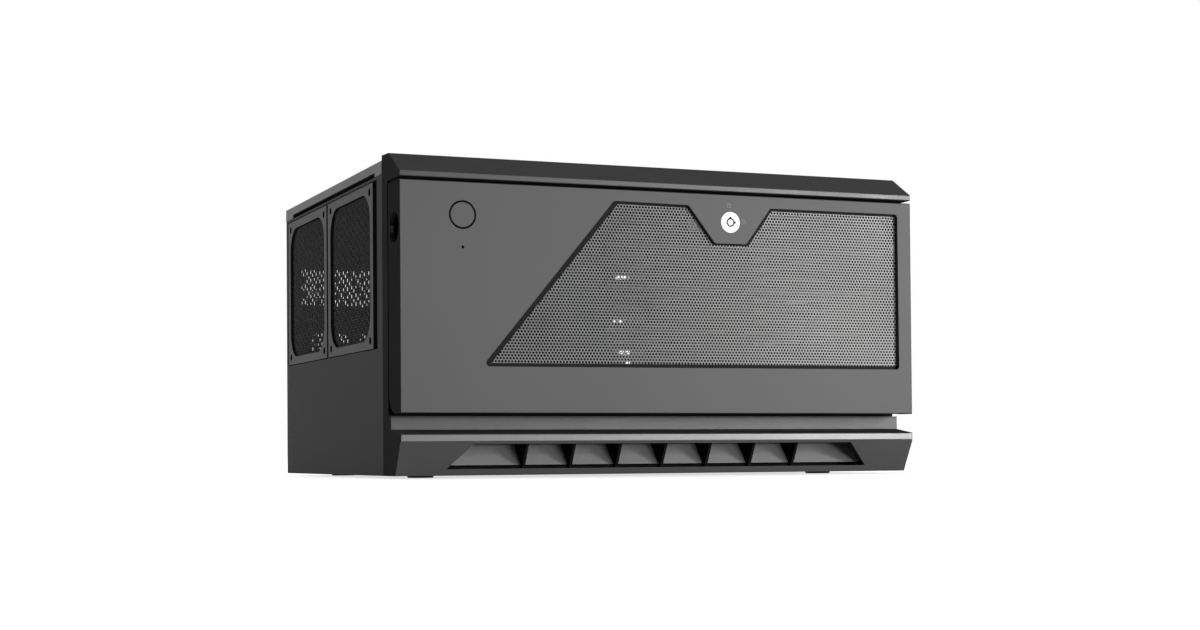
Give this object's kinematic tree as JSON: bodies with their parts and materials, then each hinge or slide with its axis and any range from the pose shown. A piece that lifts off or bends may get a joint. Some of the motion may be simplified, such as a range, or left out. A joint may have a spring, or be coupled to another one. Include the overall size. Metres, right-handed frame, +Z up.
{
  "type": "nas case",
  "caption": "Desktop network storage case with a sloped bezel, a drop-down perforated door with key lock, drive trays, side dust filters, rear fans and an open board bay.",
  "frame": {"origin": "centre of the footprint on the surface the case stands on", "axes": "+X to the right seen from the front, +Y to the rear, +Z up"},
  "size_m": [0.4, 0.318, 0.2235],
  "materials": {
    "painted_steel": "fine matt powder coat, near black",
    "cage_steel": "matt black paint",
    "bezel_plastic": "satin black moulding",
    "door_metal": "satin dark grey anodising",
    "mesh_metal": "fine perforated sheet, satin grey",
    "lock_nickel": "satin nickel plate",
    "bright_steel": "zinc plate",
    "standoff_brass": "turned brass",
    "filter_plastic": "satin dark grey moulding",
    "filter_nylon": "woven black nylon",
    "fan_plastic": "black moulding",
    "tray_plastic": "black moulding",
    "board_laminate": "green solder mask",
    "switch_plastic": "black moulding",
    "light_clear": "clear moulding",
    "foot_rubber": "soft black rubber"
  },
  "bodies": {
    "chassis": {"backplane_left": "board_laminate", "backplane_right": "board_laminate", "base_tray": "painted_steel", "bezel_hood": "bezel_plastic", "bezel_screws": "bright_steel", "board_standoffs": "standoff_brass", "cage_shelf": "cage_steel", "catch_magnets": "bright_steel", "cover_screws": "bright_steel", "drive_cage_left": "cage_steel", "drive_cage_right": "cage_steel", "drive_tray_left_1": "tray_plastic", "drive_tray_left_2": "tray_plastic", "drive_tray_left_3": "tray_plastic", "drive_tray_left_4": "tray_plastic", "drive_tray_right_1": "tray_plastic", "drive_tray_right_2": "tray_plastic", "drive_tray_right_3": "tray_plastic", "drive_tray_right_4": "tray_plastic", "fan_frame_left": "fan_plastic", "fan_frame_right": "fan_plastic", "fan_screws": "bright_steel", "filter_frame_front": "filter_plastic", "filter_frame_rear": "filter_plastic", "filter_net_front": "filter_nylon", "filter_net_rear": "filter_nylon", "foot_front_left": "foot_rubber", "foot_front_right": "foot_rubber", "foot_rear_left": "foot_rubber", "foot_rear_right": "foot_rubber", "front_bezel": "bezel_plastic", "front_board": "board_laminate", "front_plate": "painted_steel", "intake_grille": "bezel_plastic", "left_side_panel": "painted_steel", "light_pipe": "light_clear", "power_switch": "switch_plastic", "rear_panel": "painted_steel", "right_side_panel": "painted_steel", "slot_cover_1": "cage_steel", "slot_cover_2": "cage_steel", "slot_cover_3": "cage_steel", "slot_cover_4": "cage_steel", "slot_screws": "bright_steel", "top_cover": "painted_steel"},
    "door": {"door_shell": "door_metal", "door_mesh": "mesh_metal", "hinge_pin_left": "bright_steel", "hinge_pin_right": "bright_steel", "strike_plates": "bright_steel", "lock_barrel": "lock_nickel", "lock_nut": "bright_steel"},
    "lock": {"lock_plug": "lock_nickel", "lock_cam": "bright_steel", "cam_screw": "bright_steel"},
    "button": {"power_button": "door_metal"},
    "left_rotor": {"fan_rotor_left": "fan_plastic"},
    "right_rotor": {"fan_rotor_right": "fan_plastic"}
  },
  "joints": [
    {"name": "door_hinge", "type": "hinge", "parent": "chassis", "child": "door", "pos_m": [0, -0.148, 0.059], "axis": [1, 0, 0], "range_deg": [0, 90]},
    {"name": "lock_turn", "type": "hinge", "parent": "door", "child": "lock", "pos_m": [0.049, -0.159, 0.182], "axis": [0, 1, 0], "range_deg": [0, 90]},
    {"name": "power_button_press", "type": "slide", "parent": "chassis", "child": "button", "axis": [0, 1, 0], "range_m": [0, 0.0025], "stiffness_N_per_m": 500, "springref_m": -0.002},
    {"name": "left_fan_spin", "type": "hinge", "parent": "chassis", "child": "left_rotor", "pos_m": [0.0128, 0.1425, 0.138], "axis": [0, 1, 0], "continuous": true},
    {"name": "right_fan_spin", "type": "hinge", "parent": "chassis", "child": "right_rotor", "pos_m": [0.1348, 0.1425, 0.138], "axis": [0, 1, 0], "continuous": true}
  ]
}
